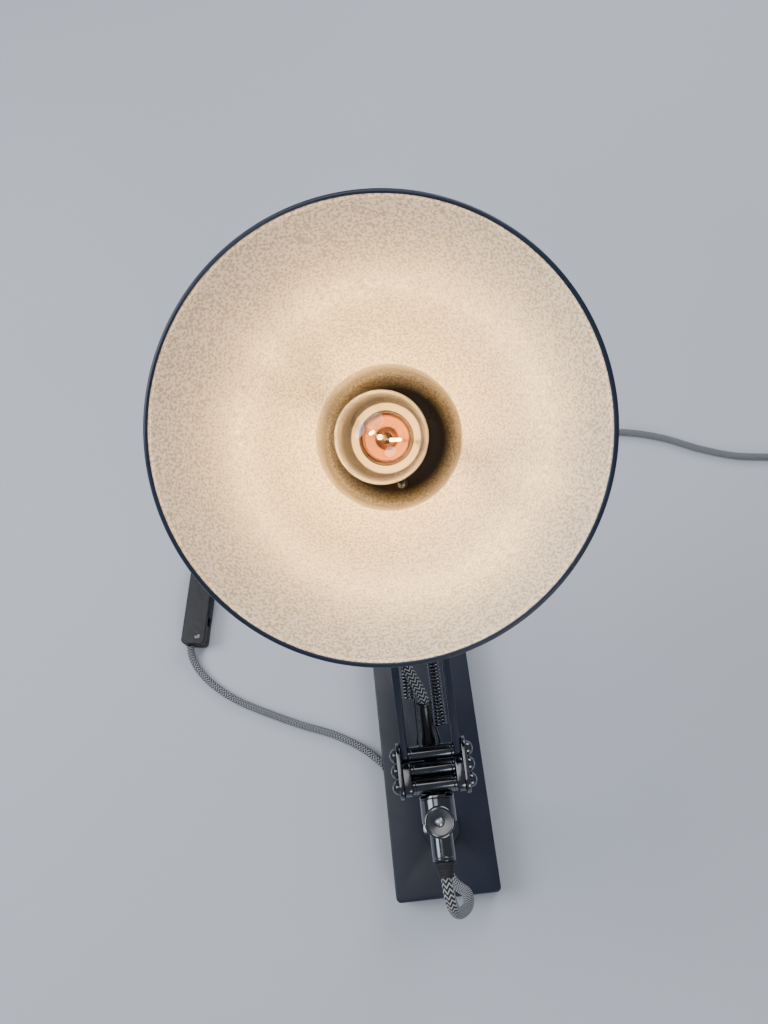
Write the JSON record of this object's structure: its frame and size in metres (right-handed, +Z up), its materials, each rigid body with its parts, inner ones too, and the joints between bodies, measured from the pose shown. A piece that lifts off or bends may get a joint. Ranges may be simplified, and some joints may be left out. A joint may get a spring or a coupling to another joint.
{
  "type": "architect desk lamp",
  "caption": "Desk lamp on a heavy flat base: swivelling column, sprung parallelogram arm, tilting conical shade with a clear globe bulb, braided mains cord with an in-line switch.",
  "frame": {"origin": "middle of the flat underside of the base", "axes": "+Z up, +Y from the column towards the shade, +X to the right as seen from behind the column"},
  "size_m": [0.6861, 0.4045, 0.4775],
  "materials": {
    "body_paint": "satin navy-black paint",
    "shade_paint": "satin navy-black paint, warm white enamel inside",
    "black_nickel": "polished black nickel plating",
    "steel": "plain bright steel",
    "braid": "black and white zigzag textile braid",
    "black_plastic": "fine matt black",
    "black_rubber": "matt black",
    "felt": "dense felt",
    "clear_glass": "clear",
    "cap_brass": "satin"
  },
  "bodies": {
    "base": {"base_casting": "body_paint", "ballast_plate": "steel", "base_pad": "felt", "column_socket": "black_nickel", "socket_nut": "steel", "mains_gland": "black_rubber", "lead_to_switch": "braid", "switch_bottom": "black_plastic", "switch_top": "black_plastic", "lead_to_coil": "braid", "cord_coil": "braid", "lead_to_plug": "braid", "plug_body": "black_plastic", "plug_pin_left": "steel", "plug_pin_right": "steel"},
    "slider": {"switch_slider": "black_plastic"},
    "post": {"column_tube": "body_paint", "column_grommet": "black_rubber", "tee_body": "black_nickel", "tee_cap": "black_nickel", "tee_screw": "steel", "rear_relief": "black_rubber", "loop_cord": "braid", "elbow_hub": "black_nickel", "cheek_left": "black_nickel", "cheek_right": "black_nickel", "spacer_front": "black_nickel", "spacer_middle": "black_nickel", "spacer_rear": "black_nickel", "elbow_rivet_front": "black_nickel", "elbow_rivet_middle": "black_nickel", "elbow_rivet_rear": "black_nickel", "lower_pivot_rivet": "black_nickel", "cord_boot": "black_rubber"},
    "arm": {"upper_bar_left": "body_paint", "upper_bar_right": "body_paint", "arm_brace": "black_nickel", "arm_cord": "braid"},
    "link": {"lower_bar_left": "body_paint", "lower_bar_right": "body_paint", "spring_left": "steel", "spring_right": "steel", "spring_front_pin": "black_nickel"},
    "bracket": {"bracket_left": "body_paint", "bracket_right": "body_paint", "bracket_rivet_upper": "black_nickel", "bracket_rivet_lower": "black_nickel", "pivot_gland": "black_nickel", "head_cord": "braid"},
    "knob": {"tilt_knob": "black_plastic"},
    "head": {"knuckle_stem": "black_nickel", "shade": "shade_paint", "lampholder": "black_plastic", "bulb_cap": "cap_brass", "bulb_glass": "clear_glass", "bulb_stem": "clear_glass", "earth_terminal": "black_nickel"}
  },
  "joints": [
    {"name": "base_swivel", "type": "hinge", "parent": "base", "child": "post", "pos_m": [0, -0.064, 0], "axis": [0, 0, 1], "range_deg": [-150, 150]},
    {"name": "arm_tilt", "type": "hinge", "parent": "post", "child": "arm", "pos_m": [0, -0.027, 0.246], "axis": [1, 0, 0], "range_deg": [-18, 40], "deforming": ["arm_cord", "spring_left", "spring_right", "head_cord"]},
    {"name": "link_tilt", "type": "hinge", "parent": "post", "child": "link", "pos_m": [0, -0.024, 0.219], "axis": [1, 0, 0], "range_deg": [-18, 40]},
    {"name": "bracket_level", "type": "hinge", "parent": "arm", "child": "bracket", "pos_m": [0, 0.12335, 0.30072], "axis": [1, 0, 0], "range_deg": [-40, 18]},
    {"name": "head_tilt", "type": "hinge", "parent": "bracket", "child": "head", "pos_m": [0, 0.153, 0.284], "axis": [1, 0, 0], "range_deg": [-205, 0]},
    {"name": "knob_turn", "type": "hinge", "parent": "bracket", "child": "knob", "pos_m": [0, 0.153, 0.284], "axis": [1, 0, 0], "range_deg": [-180, 180]},
    {"name": "slider_slide", "type": "slide", "parent": "base", "child": "slider", "axis": [0.1461, 0.9893, 0], "range_m": [-0.007, 0.019]}
  ],
  "couplings": [
    {"joint": "link_tilt", "follows": "arm_tilt", "ratio": 1},
    {"joint": "bracket_level", "follows": "arm_tilt", "ratio": -1}
  ]
}
